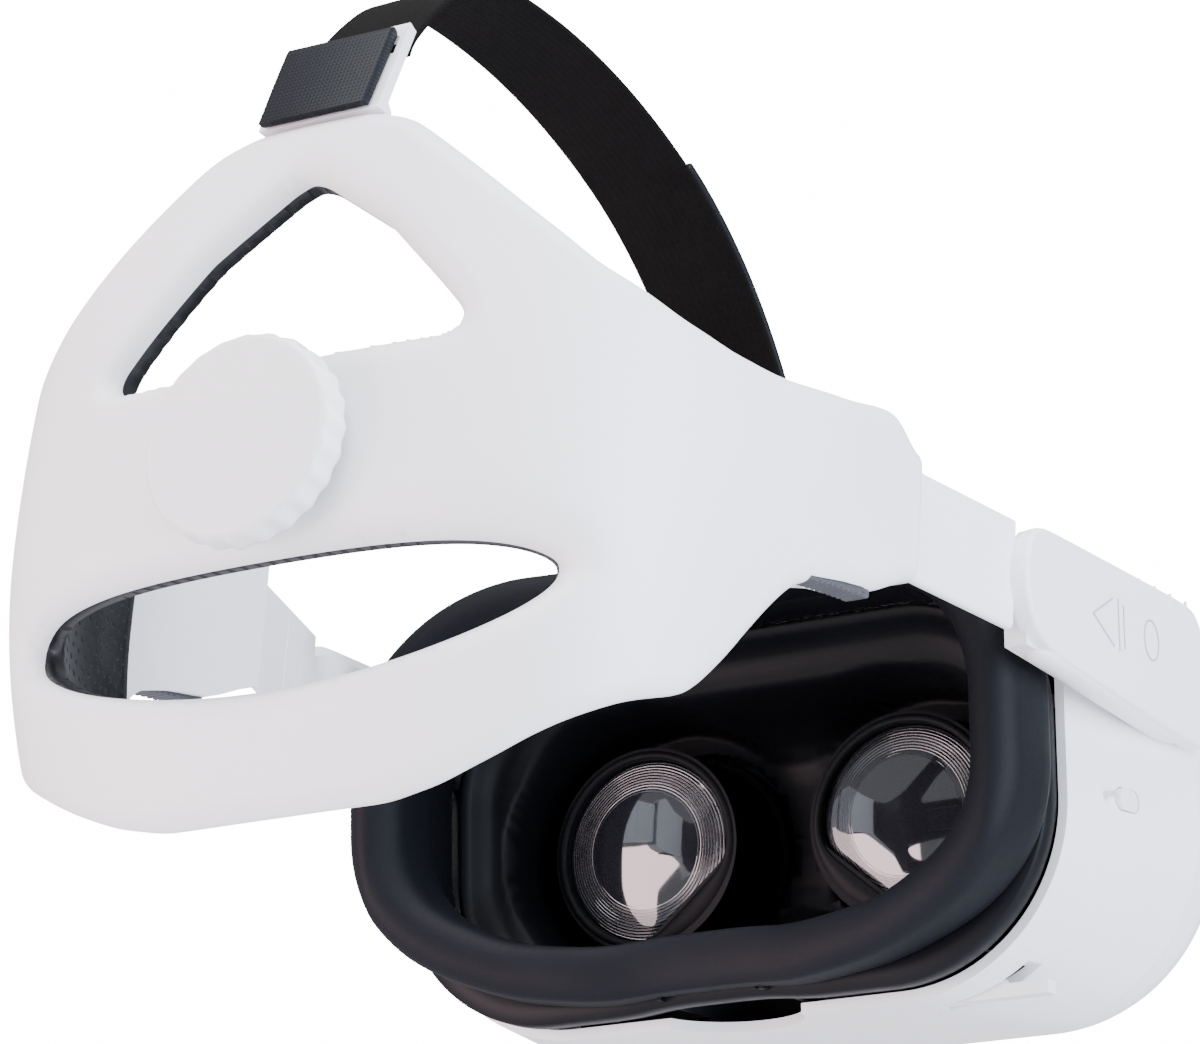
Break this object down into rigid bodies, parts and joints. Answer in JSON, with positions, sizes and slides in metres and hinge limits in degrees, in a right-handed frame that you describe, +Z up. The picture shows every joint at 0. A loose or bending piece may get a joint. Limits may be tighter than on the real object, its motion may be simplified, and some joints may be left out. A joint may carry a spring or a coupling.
{
  "type": "virtual reality headset",
  "caption": "Goggle-style visor with a padded face opening, hinged side arms, a dial-tightened moulded rear cradle and a hook-and-loop strap over the head.",
  "frame": {"origin": "middle of the visor's flat underside", "axes": "+Z up, +Y towards the back of the head, +X towards the wearer's left; the visor's front faces -Y"},
  "size_m": [0.1956, 0.2757, 0.2073],
  "materials": {
    "white_shell": "matte moulded white, fine texture",
    "white_clip": "matte moulded white",
    "white_knob": "satin moulded white",
    "black_plastic": "fine-textured black",
    "foam": "soft black closed-cell foam, skinned",
    "silicone": "matt silicone",
    "liner_leather": "perforated black synthetic leather",
    "webbing": "fuzzy hook-and-loop webbing",
    "tab_fabric": "dark grey woven tab",
    "dark_grey": "dark grey moulded",
    "lens_glass": "clear moulded lens",
    "smoked_window": "smoked gloss",
    "lamp": "diffusing light pipe",
    "steel": "ground steel",
    "screw_steel": "blackened steel",
    "aluminium_fins": "extruded",
    "circuit_board": "green solder mask",
    "display_glass": "dark panel",
    "cell_wrap": "foil-wrapped cell",
    "camera_black": "gloss window",
    "speaker_can": "speaker can"
  },
  "bodies": {
    "visor": {"front_cover": "white_shell", "visor_housing": "white_shell", "status_light": "lamp", "microphone": "silicone", "tracking_cameras": "camera_black", "usb_socket": "steel", "audio_jack": "black_plastic", "inner_faceplate": "black_plastic", "proximity_window": "smoked_window", "interface_frame": "black_plastic", "face_cushion": "foam", "nose_flap": "silicone", "lens_rails": "steel", "lens_frame": "dark_grey", "frame_screws": "screw_steel", "display_panel": "display_glass", "main_board": "circuit_board", "battery_pack": "cell_wrap", "heat_sink": "aluminium_fins", "fan_housing": "dark_grey", "front_anchor": "black_plastic", "left_pivot_hub": "dark_grey", "right_pivot_hub": "dark_grey"},
    "left_eyepiece": {"left_lens": "lens_glass", "left_lens_carriage": "black_plastic"},
    "right_eyepiece": {"right_lens": "lens_glass", "right_lens_carriage": "black_plastic"},
    "eye_pinion": {"ipd_pinion": "dark_grey"},
    "power_key": {"power_button": "white_clip"},
    "volume_key": {"volume_rocker": "white_clip"},
    "fan_wheel": {"fan_rotor": "dark_grey"},
    "side_arms": {"left_side_arm": "white_shell", "right_side_arm": "white_shell", "left_arm_speaker": "speaker_can", "right_arm_speaker": "speaker_can", "left_clip_cover": "white_clip", "right_clip_cover": "white_clip", "left_adjuster_bar": "white_clip", "right_adjuster_bar": "white_clip", "front_top_strap": "webbing"},
    "cradle": {"cradle_shell": "white_shell", "cradle_lining": "liner_leather", "lining_patch": "liner_leather", "left_cuff_insert": "dark_grey", "right_cuff_insert": "dark_grey", "gear_housing": "dark_grey", "strap_loop": "white_clip", "strap_tab": "tab_fabric", "cradle_screws": "screw_steel", "rear_top_strap": "webbing"},
    "dial": {"adjuster_knob": "white_knob", "adjuster_shaft": "steel", "adjuster_pinion": "steel", "ratchet_wheel": "dark_grey"},
    "left_pull": {"left_rack": "dark_grey"},
    "right_pull": {"right_rack": "dark_grey"}
  },
  "joints": [
    {"name": "strap_tilt", "type": "hinge", "parent": "visor", "child": "side_arms", "pos_m": [0, -0.01, 0.07], "axis": [1, 0, 0], "range_deg": [-12, 16], "deforming": ["front_top_strap"]},
    {"name": "strap_size", "type": "slide", "parent": "side_arms", "child": "cradle", "axis": [0, 0.9903, 0.1392], "range_m": [-0.012, 0.014], "deforming": ["rear_top_strap"]},
    {"name": "dial_turn", "type": "hinge", "parent": "cradle", "child": "dial", "pos_m": [0, 0.21054, 0.08663], "axis": [0, 0.9903, 0.1392], "range_deg": [-116, 135]},
    {"name": "left_rack_slide", "type": "slide", "parent": "cradle", "child": "left_pull", "axis": [1, 0, 0], "range_m": [-0.0122, 0.0142]},
    {"name": "right_rack_slide", "type": "slide", "parent": "cradle", "child": "right_pull", "axis": [1, 0, 0], "range_m": [-0.0142, 0.0122]},
    {"name": "left_lens_slide", "type": "slide", "parent": "visor", "child": "left_eyepiece", "axis": [1, 0, 0], "range_m": [-0.005, 0]},
    {"name": "right_lens_slide", "type": "slide", "parent": "visor", "child": "right_eyepiece", "axis": [1, 0, 0], "range_m": [0, 0.005]},
    {"name": "eye_pinion_turn", "type": "hinge", "parent": "visor", "child": "eye_pinion", "pos_m": [0, -0.0345, 0.0835], "axis": [0, 1, 0], "range_deg": [-72, 1]},
    {"name": "power_press", "type": "slide", "parent": "visor", "child": "power_key", "axis": [1, 0, 0], "range_m": [0, 0.0007], "stiffness_N_per_m": 400},
    {"name": "volume_rock", "type": "hinge", "parent": "visor", "child": "volume_key", "pos_m": [-0.06, -0.002, 0.004], "axis": [0, 1, 0], "range_deg": [-2, 2], "stiffness_Nm_per_rad": 0.05},
    {"name": "fan_spin", "type": "hinge", "parent": "visor", "child": "fan_wheel", "pos_m": [0.047, -0.054, 0.051], "axis": [0, 1, 0], "continuous": true}
  ],
  "couplings": [
    {"joint": "dial_turn", "follows": "strap_size", "rad_per_m": 166.67},
    {"joint": "left_rack_slide", "follows": "strap_size", "ratio": 1},
    {"joint": "right_rack_slide", "follows": "strap_size", "ratio": -1},
    {"joint": "right_lens_slide", "follows": "left_lens_slide", "ratio": -1},
    {"joint": "eye_pinion_turn", "follows": "left_lens_slide", "rad_per_m": 250}
  ]
}
